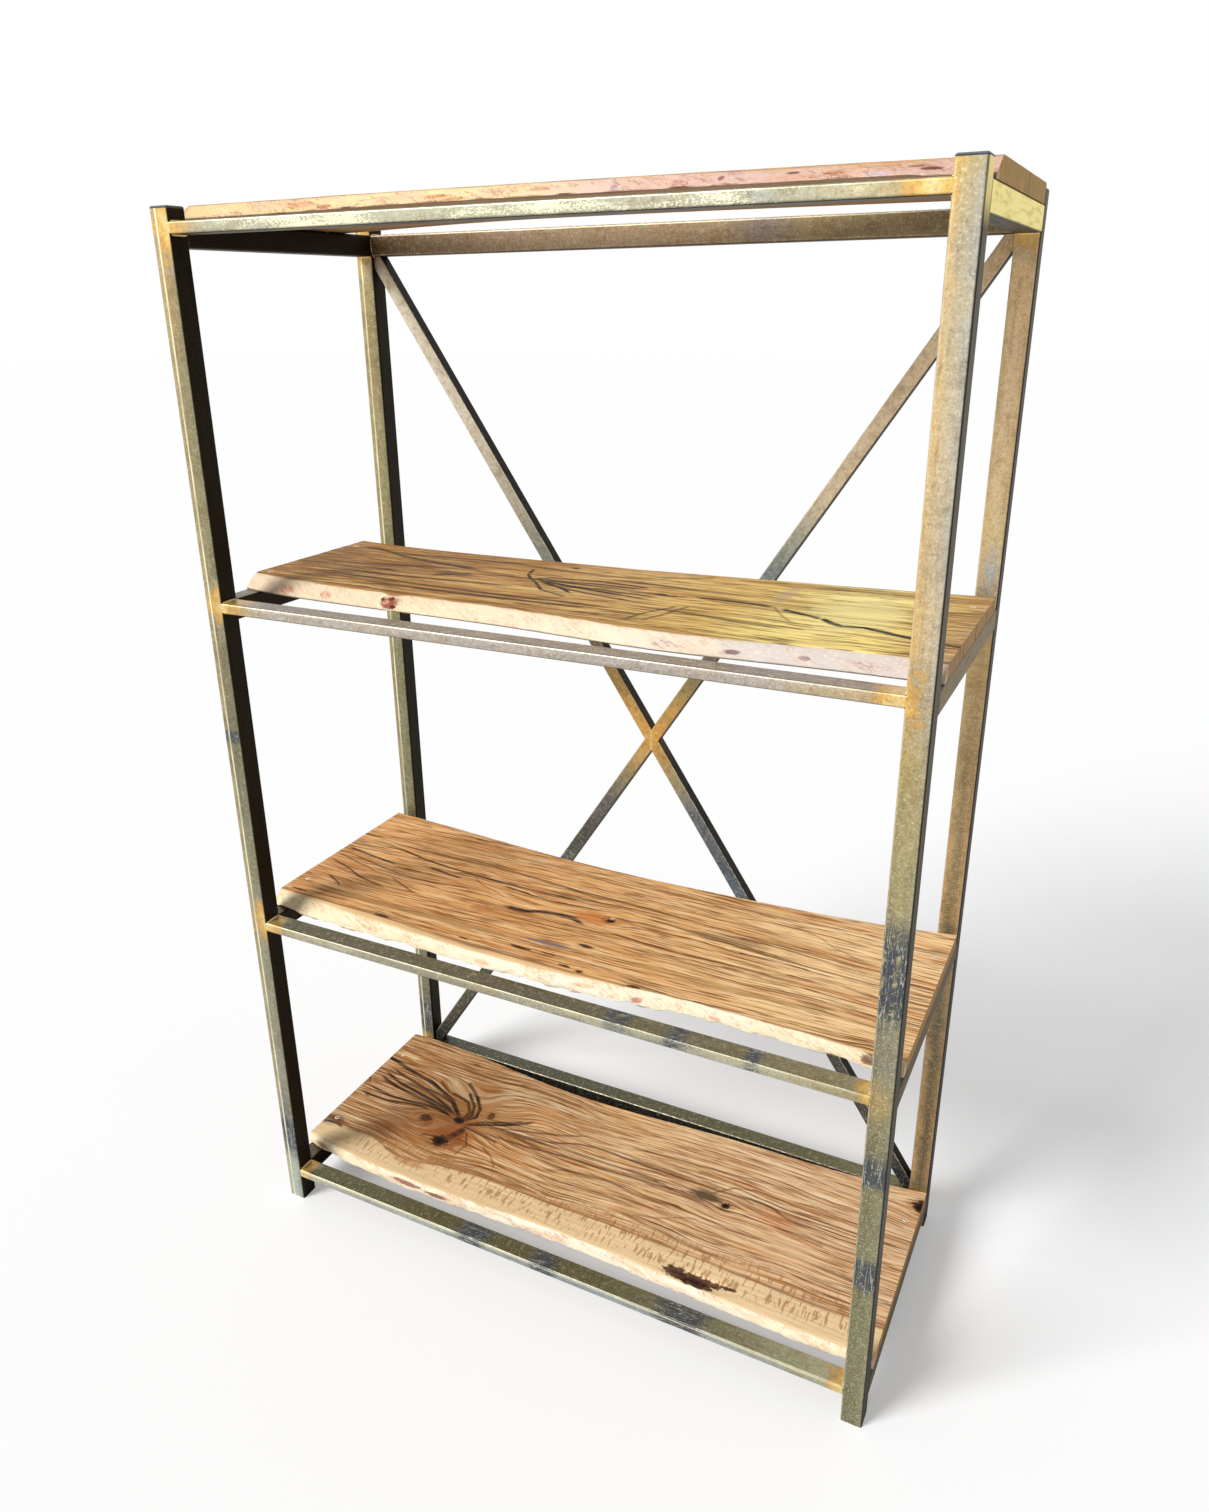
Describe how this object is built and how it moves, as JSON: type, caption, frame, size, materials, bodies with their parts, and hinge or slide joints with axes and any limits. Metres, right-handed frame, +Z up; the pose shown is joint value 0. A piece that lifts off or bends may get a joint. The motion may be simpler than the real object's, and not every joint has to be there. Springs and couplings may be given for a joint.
{
  "type": "shelving unit",
  "caption": "Open shelving unit with live-edge oak boards screwed to a welded steel box-section frame, stiffened by a cross brace at the back.",
  "frame": {"origin": "centre of the footprint at floor level", "axes": "+X to the right as seen from the front, +Y to the braced back, +Z up"},
  "size_m": [1, 0.43, 1.554],
  "materials": {
    "frame_steel": "raw mill steel under clear lacquer, with straw to blue heat tint at the welds",
    "oak": "oiled oak with pale sapwood live edges",
    "cap_black": "black push-in tube cap",
    "screw_steel": "bright zinc-plated screw"
  },
  "bodies": {
    "root": {"post_front_left": "frame_steel", "post_front_right": "frame_steel", "post_rear_left": "frame_steel", "post_rear_right": "frame_steel", "foot_plate_front_left": "frame_steel", "foot_plate_front_right": "frame_steel", "foot_plate_rear_left": "frame_steel", "foot_plate_rear_right": "frame_steel", "post_cap_front_left": "cap_black", "post_cap_front_right": "cap_black", "post_cap_rear_left": "cap_black", "post_cap_rear_right": "cap_black", "front_rail_bottom": "frame_steel", "front_rail_lower": "frame_steel", "front_rail_upper": "frame_steel", "front_rail_top": "frame_steel", "rear_rail_bottom": "frame_steel", "rear_rail_top": "frame_steel", "side_rail_left_bottom": "frame_steel", "side_rail_left_lower": "frame_steel", "side_rail_left_upper": "frame_steel", "side_rail_left_top": "frame_steel", "side_rail_right_bottom": "frame_steel", "side_rail_right_lower": "frame_steel", "side_rail_right_upper": "frame_steel", "side_rail_right_top": "frame_steel", "brace_upper_right": "frame_steel", "brace_upper_left": "frame_steel", "brace_lower_right": "frame_steel", "brace_lower_left": "frame_steel", "brace_cross_weld": "frame_steel", "board_bottom": "oak", "board_lower": "oak", "board_upper": "oak", "board_top": "oak", "board_screws_bottom": "screw_steel", "board_screws_lower": "screw_steel", "board_screws_upper": "screw_steel", "board_screws_top": "screw_steel"}
  },
  "joints": []
}
